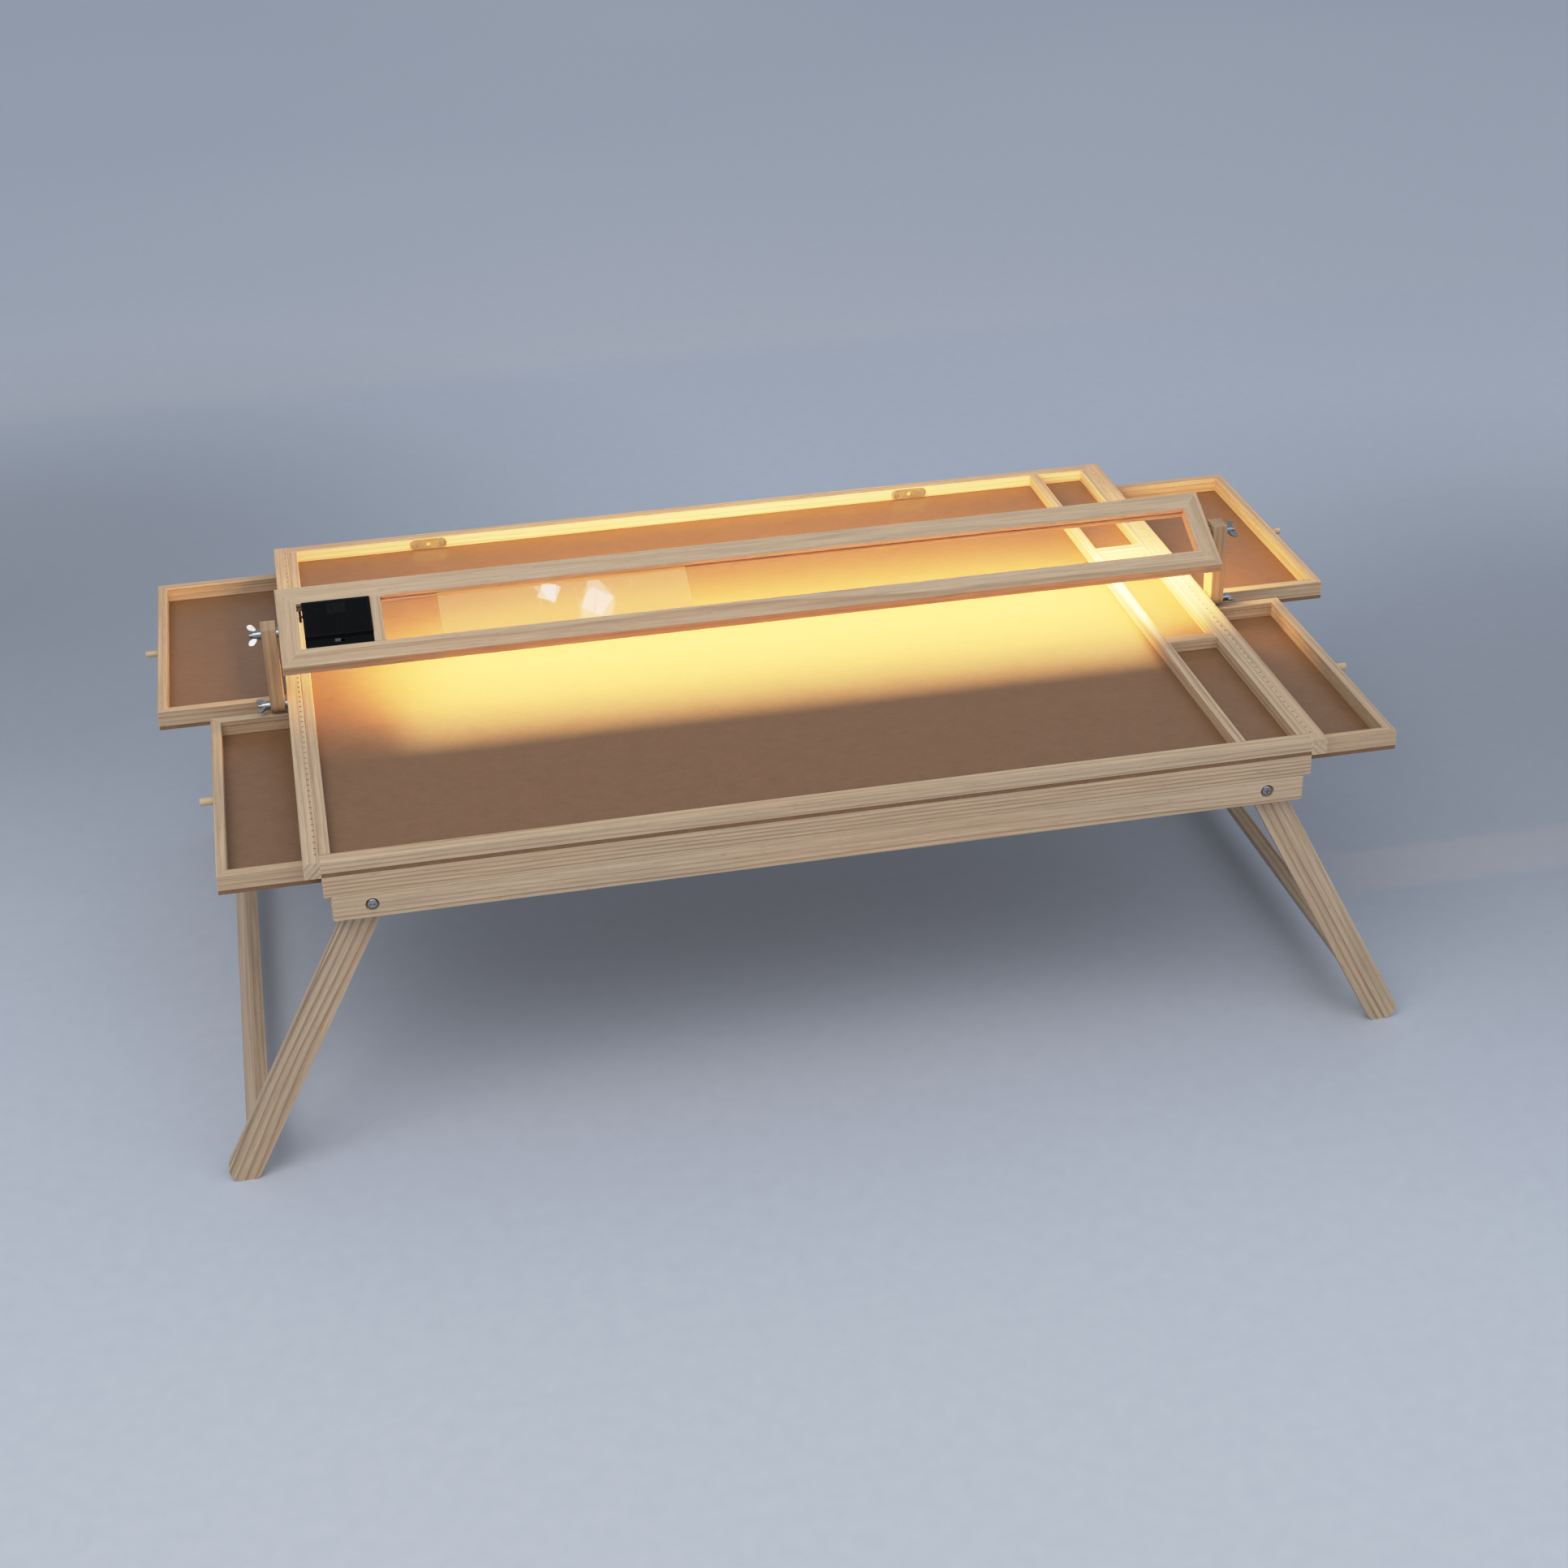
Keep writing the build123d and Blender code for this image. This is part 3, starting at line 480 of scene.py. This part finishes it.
def moulded_plastic(name, colour, smooth, rough, specular=0.5):
    """Moulded plastic: fine spark texture, scuffed paler edges and a little dust."""
    made, tree, shader, place = new_finish(name)
    marks = use_effect(
        tree, smudges, Position=place, Smooth=smooth, Rough=rough, Scratch_scale=700.0
    )
    worn = use_effect(tree, edge_wear, Position=place, Width=0.0008, Patchiness=500.0)
    pale = tuple(min(1.0, value * 2.2 + 0.05) for value in colour)
    tone = blend_colours(tree, maths(tree, "MULTIPLY", worn["Mask"], 0.55), colour, pale)
    dusty = maths(tree, "MULTIPLY", marks["Dust"], 0.10)
    tone = blend_colours(tree, dusty, tone, (0.45, 0.43, 0.40))
    join(tree, tone, shader.inputs["Base Color"])
    join(tree, marks["Roughness"], shader.inputs["Roughness"])
    shader.inputs["Specular IOR Level"].default_value = specular
    spark = noise(tree, place, 2600.0, 2.0, 0.5)
    bump(tree, shader, maths(tree, "ADD", marks["Height"], spark), 0.00008, 0.35)
    return made


def clear_sheet():
    """Clear acrylic with hairline scratches, finger smears and specks of dust, and a faint warm
    painted glow that stands in for the strips' light caught in the sheet.
    """
    made, tree, shader, place = new_finish("clear acrylic")
    marks = use_effect(
        tree, smudges, Position=place, Smooth=0.004, Rough=0.020, Scratch_scale=380.0
    )
    haze = ramp(tree, marks["Dust"], (0.0, (0.97, 0.985, 0.985)), (1.0, (0.86, 0.88, 0.88)))
    join(tree, haze, shader.inputs["Base Color"])
    join(tree, marks["Roughness"], shader.inputs["Roughness"])
    shader.inputs["IOR"].default_value = 1.49
    # Painted glow: a faint warm emission over the whole sheet, also where no strip shines on it.
    shader.inputs["Emission Color"].default_value = (1.0, 0.60, 0.20, 1)
    shader.inputs["Emission Strength"].default_value = 0.09
    shader.inputs["Transmission Weight"].default_value = 1.0
    bump(tree, shader, marks["Height"], 0.000002, 0.2)
    return made


pad_pitch = 0.05
pad_share = 0.07


def led_tape():
    """White flexible circuit with a copper pad at every second chip."""
    made, tree, shader, place = new_finish("led tape")
    step = maths(tree, "FRACT", maths(tree, "DIVIDE", axes(tree, place)["X"], pad_pitch))
    pad = maths(tree, "LESS_THAN", step, pad_share)
    weave = noise(tree, place, 800.0, 3.0, 0.6)
    white = ramp(tree, weave, (0.3, (0.74, 0.72, 0.66)), (0.7, (0.88, 0.86, 0.80)))
    join(tree, blend_colours(tree, pad, white, (0.72, 0.45, 0.22)), shader.inputs["Base Color"])
    join(tree, maths(tree, "MULTIPLY", pad, 0.9), shader.inputs["Metallic"])
    join(tree, ramp(tree, weave, (0.3, 0.35), (0.7, 0.55)), shader.inputs["Roughness"])
    bump(tree, shader, maths(tree, "ADD", weave, pad), 0.00008, 0.5)
    return made


def led_chip():
    """A warm lit phosphor dome in a pale package."""
    made, tree, shader, place = new_finish("lit chip")
    grains = noise(tree, place, 1500.0, 2.0, 0.5)
    glow = ramp(tree, grains, (0.3, (1.0, 0.60, 0.20)), (0.7, (1.0, 0.72, 0.34)))
    join(tree, glow, shader.inputs["Base Color"])
    join(tree, glow, shader.inputs["Emission Color"])
    shader.inputs["Emission Strength"].default_value = 14.0
    join(tree, ramp(tree, grains, (0.3, 0.25), (0.7, 0.45)), shader.inputs["Roughness"])
    return made


def cell_sleeve():
    """A dry cell's plain green sleeve, unevenly glossy."""
    made, tree, shader, place = new_finish("cell sleeve")
    marks = use_effect(
        tree, smudges, Position=place, Smooth=0.22, Rough=0.4, Scratch_scale=500.0
    )
    tone = ramp(tree, marks["Height"], (0.30, (0.05, 0.17, 0.12)), (0.65, (0.08, 0.26, 0.18)))
    join(tree, tone, shader.inputs["Base Color"])
    join(tree, marks["Roughness"], shader.inputs["Roughness"])
    bump(tree, shader, marks["Height"], 0.00005, 0.3)
    return made


def dress(names, finish):
    """Gives the frame's nodes their finish."""
    for name in names:
        nodes[name].data.materials.clear()
        nodes[name].data.materials.append(finish)


# ---- Finishes on the table's own pieces ----
for name in ("tray_front_rail", "tray_back_rail", "front_apron", "back_apron", "drawer_spine"):
    dress([name], pine(f"pine {name}", grain_x, ring_width=0.0036))
for name in ("carcass_rails", "drawer_guides"):
    dress([name], pine(f"pine {name}", grain_x, ring_width=0.0032))
for name in ("tray_left_rail", "tray_right_rail", "peg_strip_left", "peg_strip_right", "cross_ties"):
    dress([name], pine(f"pine {name}", grain_y, ring_width=0.0044))
long_divider_edge = 0.3662
dividers = pine(
    "pine compartment_dividers",
    grain_y,
    ring_width=0.0038,
    other_bars=beyond_mask(long_divider_edge),
    other_turn=grain_x,
)
dress(["compartment_dividers"], dividers)
board = hardboard()
dress(["tray_board", "battery_cradle"], board)
drawer_pine = (0.590, 0.430, 0.275)
peg_early, peg_late = (0.70, 0.53, 0.32), (0.52, 0.34, 0.18)

for place_name in ("front_left", "rear_left", "front_right", "rear_right"):
    low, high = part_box(f"drawer_{place_name}_walls")
    middle = tuple((a + b) / 2 for a, b in zip(low, high))
    ends = mitre_mask(middle, (high[0] - low[0]) / 2, (high[1] - low[1]) / 2)
    walls = pine(
        f"pine drawer {place_name}",
        grain_x,
        ring_width=0.0046,
        early=drawer_pine,
        other_bars=ends,
    )
    dress([f"drawer_{place_name}_walls"], walls)
    dress([f"drawer_{place_name}_board"], board)
    peg = pine(f"pull peg {place_name}", grain_x, 0.0021, 0.002, peg_early, peg_late)
    dress([f"drawer_{place_name}_pull"], peg)

leg_early, leg_late = (0.60, 0.455, 0.305), (0.270, 0.155, 0.085)
post_early, post_late = (0.520, 0.345, 0.190), (0.300, 0.160, 0.072)
for side, side_name in ((-1, "left"), (1, "right")):
    leg_turn = (0, pi / 2 - side * leg_lean, 0)
    for row_name in ("front", "rear"):
        name = f"leg pine {row_name} {side_name}"
        leg = pine(name, leg_turn, 0.0058, 0.018, leg_early, leg_late)
        dress([f"leg_{row_name}_{side_name}"], leg)
    name = f"leg pine stretcher {side_name}"
    stretcher = pine(name, grain_y, 0.005, 0.009, leg_early, leg_late)
    dress([f"stretcher_{side_name}"], stretcher)
    post = pine(f"pine post {side_name}", grain_z, 0.0060, early=post_early, late=post_late)
    dress([f"post_{side_name}"], post)

bar_turn = (bar_tilt, 0, 0)
cross_bar_turn = (0, -bar_tilt, pi / 2)
quiet_late = (0.470, 0.305, 0.180)
for name, wander in (("light_bar_front_rail", 0.014), ("light_bar_back_rail", 0.034)):
    dress([name], pine(f"pine {name}", bar_turn, 0.0080, wander, late=quiet_late))
for name in ("light_bar_left_rail", "light_bar_right_rail", "light_bar_cross_bar"):
    dress([name], pine(f"pine {name}", cross_bar_turn, 0.0085, 0.012, late=quiet_late))

dress(["rail_plates"], metal("nickel plate", (0.36, 0.30, 0.23), 0.24, 0.40, 900.0))
bright_steel = metal("zinc steel", (0.36, 0.36, 0.37), 0.07, 0.16, 1400.0)
dress(["leg_bolts", "leg_nuts", "post_bolts", "post_washers"], bright_steel)
dress(["light_bar_bolts", "light_bar_washers", "plate_screws"], bright_steel)
black_plastic = moulded_plastic("black plastic", (0.0030, 0.0030, 0.0036), 0.12, 0.26, 0.08)
dress(["battery_box"], black_plastic)
dress(["led_leads"], moulded_plastic("lead insulation", (0.03, 0.012, 0.010), 0.30, 0.45))
dress(["led_tapes"], led_tape())
dress(["led_chips"], led_chip())
dress(["battery_cells"], cell_sleeve())


# ---- Pieces modelled here in place of plain ones ----
sharp_edge = radians(35)
smooth_edge = radians(40)


def deselect():
    """Leaves edit mode with nothing selected."""
    if bpy.context.object and bpy.context.object.mode != "OBJECT":
        bpy.ops.object.mode_set(mode="OBJECT")
    bpy.ops.object.select_all(action="DESELECT")


def choose(piece):
    """Selects one piece alone and makes it active."""
    deselect()
    bpy.context.view_layer.objects.active = piece
    piece.select_set(True)


def pick(test, kind="FACE"):
    """In edit mode, selects the faces or vertices whose place passes a test."""
    bpy.ops.mesh.select_all(action="DESELECT")
    bpy.ops.mesh.select_mode(type=kind)
    shape = bmesh.from_edit_mesh(bpy.context.object.data)
    if kind == "FACE":
        for face in shape.faces:
            face.select_set(test(face.calc_center_median(), face.normal))
    else:
        for vertex in shape.verts:
            vertex.select_set(test(vertex.co, vertex.normal))
    shape.select_flush_mode()
    bmesh.update_edit_mesh(bpy.context.object.data)


def finish_modifiers(piece, bevel, segments=2):
    """Rounds a piece's edges, shades it smooth and keeps its flat faces flat."""
    choose(piece)
    rounding = piece.modifiers.new("rounding", "BEVEL")
    rounding.width = bevel
    rounding.segments = segments
    rounding.limit_method = "ANGLE"
    rounding.angle_limit = sharp_edge
    bpy.ops.object.modifier_apply(modifier=rounding.name)
    bpy.ops.object.shade_smooth_by_angle(angle=smooth_edge)
    even = piece.modifiers.new("even faces", "WEIGHTED_NORMAL")
    even.keep_sharp = True
    bpy.ops.object.modifier_apply(modifier=even.name)


def join_onto(piece, extras):
    """Joins smaller pieces onto one that keeps its name."""
    deselect()
    for extra in extras:
        extra.select_set(True)
    piece.select_set(True)
    bpy.context.view_layer.objects.active = piece
    bpy.ops.object.join()


def settle(piece, place):
    """Moves a piece to its place and leaves the place in its mesh."""
    choose(piece)
    piece.matrix_world = place
    bpy.ops.object.transform_apply(location=True, rotation=True, scale=True)


def box_piece(name, size, centre):
    """A block of a size at a centre, left in edit mode for shaping."""
    deselect()
    bpy.ops.mesh.primitive_cube_add(size=1, location=(0, 0, 0))
    piece = bpy.context.object
    piece.name = name
    piece.scale = size
    bpy.ops.object.transform_apply(location=False, rotation=False, scale=True)
    piece.location = centre
    bpy.ops.object.transform_apply(location=True, rotation=False, scale=False)
    bpy.ops.object.mode_set(mode="EDIT")
    return piece


def raised_bar(name, size, centre, top_scale):
    """A small bar that narrows towards its top."""
    bar = box_piece(name, size, centre)
    pick(lambda middle, normal: normal.z > 0.9)
    bpy.ops.transform.resize(value=top_scale)
    bpy.ops.object.mode_set(mode="OBJECT")
    return bar


hub_radius = 0.0046
hub_height = 0.006
hub_taper = 0.82
hub_face_width = 0.0009
bore_step = 0.0002
bore_depth = 0.0008
ear_half_width = 0.0026
ear_half_length = 0.0047
ear_thickness = 0.0022
ear_rim = 0.0007
ear_dish = 0.00022
ear_rise = radians(50)
ear_place = (0.0063, 0, 0.0066)


def wing_nut_ear(way):
    """One dished paddle that rises outwards on one side of the nut."""
    deselect()
    bpy.ops.mesh.primitive_cylinder_add(
        vertices=28, radius=ear_half_width, depth=ear_thickness, rotation=(pi / 2, 0, 0)
    )
    ear = bpy.context.object
    bpy.ops.object.transform_apply(location=False, rotation=True, scale=False)
    bpy.ops.object.mode_set(mode="EDIT")
    pick(lambda middle, normal: abs(normal.y) > 0.9)
    bpy.ops.mesh.inset(thickness=ear_rim, depth=-ear_dish)
    bpy.ops.mesh.select_all(action="SELECT")
    bpy.ops.transform.resize(value=(ear_half_length / ear_half_width, 1, 1))
    # The tip is wider and thinner than the root.
    pick(lambda point, normal: point.x > 0.001, "VERT")
    bpy.ops.transform.resize(value=(1, 0.80, 1.16), center_override=(0, 0, 0))
    pick(lambda point, normal: point.x < -0.001, "VERT")
    bpy.ops.transform.resize(value=(1, 1.15, 0.95), center_override=(0, 0, 0))
    bpy.ops.mesh.select_all(action="SELECT")
    bpy.ops.transform.rotate(value=ear_rise, orient_axis="Y", center_override=(0, 0, 0))
    bpy.ops.transform.translate(value=ear_place)
    if way < 0:
        bpy.ops.transform.rotate(value=pi, orient_axis="Z", center_override=(0, 0, 0))
    bpy.ops.object.mode_set(mode="OBJECT")
    finish_modifiers(ear, bevel=0.0004, segments=3)
    return ear


def wing_nut():
    """A forged wing nut: a tapered hub round its bore, and two dished ears."""
    deselect()
    bpy.ops.mesh.primitive_cylinder_add(
        vertices=32, radius=hub_radius, depth=hub_height, location=(0, 0, hub_height / 2)
    )
    nut = bpy.context.object
    bpy.ops.object.transform_apply(location=True, rotation=False, scale=False)
    bpy.ops.object.mode_set(mode="EDIT")
    pick(lambda middle, normal: normal.z > 0.9)
    bpy.ops.transform.resize(value=(hub_taper, hub_taper, 1))
    bpy.ops.mesh.inset(thickness=hub_face_width)
    bpy.ops.mesh.inset(thickness=bore_step)
    bpy.ops.mesh.extrude_region_move(TRANSFORM_OT_translate={"value": (0, 0, -bore_depth)})
    bpy.ops.object.mode_set(mode="OBJECT")
    join_onto(nut, [wing_nut_ear(way) for way in (1, -1)])
    finish_modifiers(nut, bevel=0.0002)
    nut.data.materials.clear()
    nut.data.materials.append(bright_steel)
    return nut


wing_turns = {
    "left_lower": (-1, lower_pivot_z, radians(8)),
    "right_lower": (1, lower_pivot_z, radians(-6)),
    "left_upper": (-1, upper_pivot_z, radians(50)),
    "right_upper": (1, upper_pivot_z, radians(26)),
}
pattern_nut = wing_nut()
for place_name, (side, height, turn) in wing_turns.items():
    node_name = f"wing_nut_{place_name}"
    low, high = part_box(node_name)
    seat = high[0] if side < 0 else low[0]
    nut = pattern_nut.copy()
    nut.data = pattern_nut.data.copy()
    nut.name = f"wing_nut_{place_name}_forged"
    bpy.context.collection.objects.link(nut)
    reach = Vector((0, cos(turn), sin(turn)))
    outward = Vector((side, 0, 0))
    third = outward.cross(reach)
    nut_turn = Matrix((reach, third, outward)).transposed().to_4x4()
    settle(nut, Matrix.Translation((seat, pivot_y, height)) @ nut_turn)
    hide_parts(node_name)
    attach(nut, node_name)
bpy.data.objects.remove(pattern_nut)


def bar_box(node):
    """A node's size and centre on the light bar's own tilted axes."""
    turned = [bar_place.inverted() @ vertex.co for vertex in nodes[node].data.vertices]
    low = Vector([min(point[i] for point in turned) for i in range(3)])
    high = Vector([max(point[i] for point in turned) for i in range(3)])
    return high - low, (high + low) / 2


grip_count = 7
grip_pitch = 0.0017
grip_size = (0.016, 0.0009, 0.0005)
grip_from_edge = 0.0045
grip_sink = 0.00015
lid_rim = 0.0016
lid_panel_drop = 0.0003


def battery_lid():
    """The battery box's lid: a sunk panel inside a rim, with grip bars along its back edge."""
    size, centre = bar_box("battery_lid")
    lid = box_piece("battery_lid_moulded", size, centre)
    pick(lambda middle, normal: normal.z > 0.9)
    bpy.ops.mesh.inset(thickness=lid_rim)
    bpy.ops.mesh.extrude_region_move(TRANSFORM_OT_translate={"value": (0, 0, -lid_panel_drop)})
    bpy.ops.object.mode_set(mode="OBJECT")
    first_y = centre.y + size.y / 2 - grip_from_edge
    grip_z = centre.z + size.z / 2 - grip_sink
    grips = [
        raised_bar(
            "grip", grip_size, (centre.x, first_y - step * grip_pitch, grip_z), (0.96, 0.4, 1)
        )
        for step in range(grip_count)
    ]
    join_onto(lid, grips)
    finish_modifiers(lid, bevel=0.00022, segments=3)
    lid.data.materials.append(black_plastic)
    settle(lid, bar_place)
    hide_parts("battery_lid")
    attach(lid, "light_bar")


rib_pitch = 0.0014
rib_width = 0.0006
rib_height = 0.0004
rib_sink = 0.0001


def battery_switch():
    """The switch's sliding knob, with three ribs across it."""
    size, centre = bar_box("battery_switch")
    knob = box_piece("battery_switch_ribbed", size, centre)
    bpy.ops.object.mode_set(mode="OBJECT")
    rib_size = (rib_width, size.y * 0.92, rib_height)
    rib_z = centre.z + size.z / 2 - rib_sink
    ribs = [
        raised_bar("rib", rib_size, (centre.x + step * rib_pitch, centre.y, rib_z), (0.4, 0.9, 1))
        for step in (-1, 0, 1)
    ]
    join_onto(knob, ribs)
    finish_modifiers(knob, bevel=0.00012)
    knob.data.materials.append(moulded_plastic("switch plastic", (0.06, 0.06, 0.065), 0.35, 0.5))
    settle(knob, bar_place)
    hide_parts("battery_switch")
    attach(knob, "switch_knob")


def magnifier_sheet():
    """The clear sheet, with its edges polished round."""
    size, centre = bar_box("magnifier_sheet")
    sheet = box_piece("magnifier_sheet_polished", size, centre)
    bpy.ops.object.mode_set(mode="OBJECT")
    finish_modifiers(sheet, bevel=0.0004)
    sheet.data.materials.append(clear_sheet())
    settle(sheet, bar_place)
    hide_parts("magnifier_sheet")
    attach(sheet, "magnifier")


battery_lid()
battery_switch()
magnifier_sheet()

# ---- Floor with two painted shadow pools, light and air ----
floor_radius = 14.0
# Painted shadow: two soft dark pools on the floor beside the table, each a centre and a reach.
painted_shadow_pools = (((-0.80, 0.95, 0), 1.05), ((1.05, 0.20, 0), 1.0))
deselect()
bpy.ops.mesh.primitive_circle_add(
    vertices=96, radius=floor_radius, fill_type="NGON", location=(0, 0, 0)
)
floor = bpy.context.object
floor.name = "studio_floor"
floor_finish, tree, shader, place = new_finish("pale studio floor")
slow = noise(tree, place, 0.35, 2.0, 0.5)
speck = noise(tree, place, 60.0, 3.0, 0.6)
tone = ramp(tree, slow, (0.35, (0.490, 0.530, 0.610)), (0.65, (0.540, 0.575, 0.650)))
tone = blend_colours(tree, 1.0, tone, ramp(tree, speck, (0.3, 0.97), (0.7, 1.02)), "MULTIPLY")
# Painted shadow: the floor's tone darkens towards each pool's centre, down to 0.6 of itself.
for shadow_centre, reach in painted_shadow_pools:
    away = vector_maths(tree, "DISTANCE", place, shadow_centre)["Value"]
    falloff = maths(tree, "DIVIDE", away, reach)
    painted_shadow = ramp(tree, falloff, (0.0, 0.60), (0.35, 0.68), (0.75, 0.93), (1.0, 1.0))
    tone = blend_colours(tree, 1.0, tone, painted_shadow, "MULTIPLY")
from_middle = maths(tree, "DIVIDE", vector_maths(tree, "LENGTH", place)["Value"], floor_radius)
far = ramp(tree, from_middle, (0.38, 0.0), (0.92, 1.0))
tone = blend_colours(tree, far, tone, (1.0, 1.0, 1.0))
join(tree, tone, shader.inputs["Base Color"])
join(tree, ramp(tree, speck, (0.3, 0.55), (0.7, 0.70)), shader.inputs["Roughness"])
shader.inputs["Specular IOR Level"].default_value = 0.2
bump(tree, shader, speck, 0.0002, 0.2)
floor.data.materials.append(floor_finish)

air = bpy.data.worlds.new("studio air")
bpy.context.scene.world = air
air.use_nodes = True
sky = air.node_tree.nodes["Background"]
sky.inputs["Color"].default_value = (0.80, 0.87, 0.97, 1)
sky.inputs["Strength"].default_value = 0.60


def area_light(name, power, size, colour, at, towards, size_y=None):
    """A soft rectangular light looking at a point."""
    lamp = bpy.data.lights.new(name, "AREA")
    lamp.energy = power
    lamp.color = colour
    lamp.shape = "RECTANGLE"
    lamp.size = size
    lamp.size_y = size_y or size
    made = bpy.data.objects.new(name, lamp)
    bpy.context.collection.objects.link(made)
    look = (Vector(towards) - Vector(at)).to_track_quat("-Z", "Y")
    made.matrix_world = Matrix.Translation(at) @ look.to_matrix().to_4x4()
    return made


table_middle = (0.0, 0.0, 0.2)
area_light("key", 34, 1.8, (1.0, 0.97, 0.94), (-1.3, -1.6, 2.7), table_middle)
area_light("fill", 16, 2.4, (0.90, 0.94, 1.0), (2.0, -2.6, 2.4), table_middle)
area_light("floor wash", 26, 3.0, (0.95, 0.97, 1.0), (0.2, -3.4, 3.2), (0.0, -1.6, 0.0))

# Two small ceiling lamps that the clear sheet mirrors.
sheet_middle = (-0.2, 0.0, 0.37)
white = (1.0, 1.0, 1.0)
area_light("ceiling lamp near", 0.030, 0.034, white, (0.006, 0.454, 2.6), sheet_middle)
area_light("ceiling lamp far", 0.040, 0.046, white, (0.087, 0.423, 2.6), sheet_middle)

# One long warm light under each row of chips.
warm = (1.0, 0.62, 0.22)
strip_middle = 0.0375
strip_length, strip_width = 0.742, 0.006
strip_from_axis = 0.0352
strip_below_axis = 0.0082
for row, power in ((-1, 1.9), (1, 9.0)):
    name = f"led glow {row}"
    strip = area_light(name, power, strip_length, warm, (0, 0, 1), (0, 0, 0), strip_width)
    strip_place = Matrix.Translation((strip_middle, row * strip_from_axis, -strip_below_axis))
    strip.matrix_world = bar_place @ strip_place
    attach(strip, "light_bar")
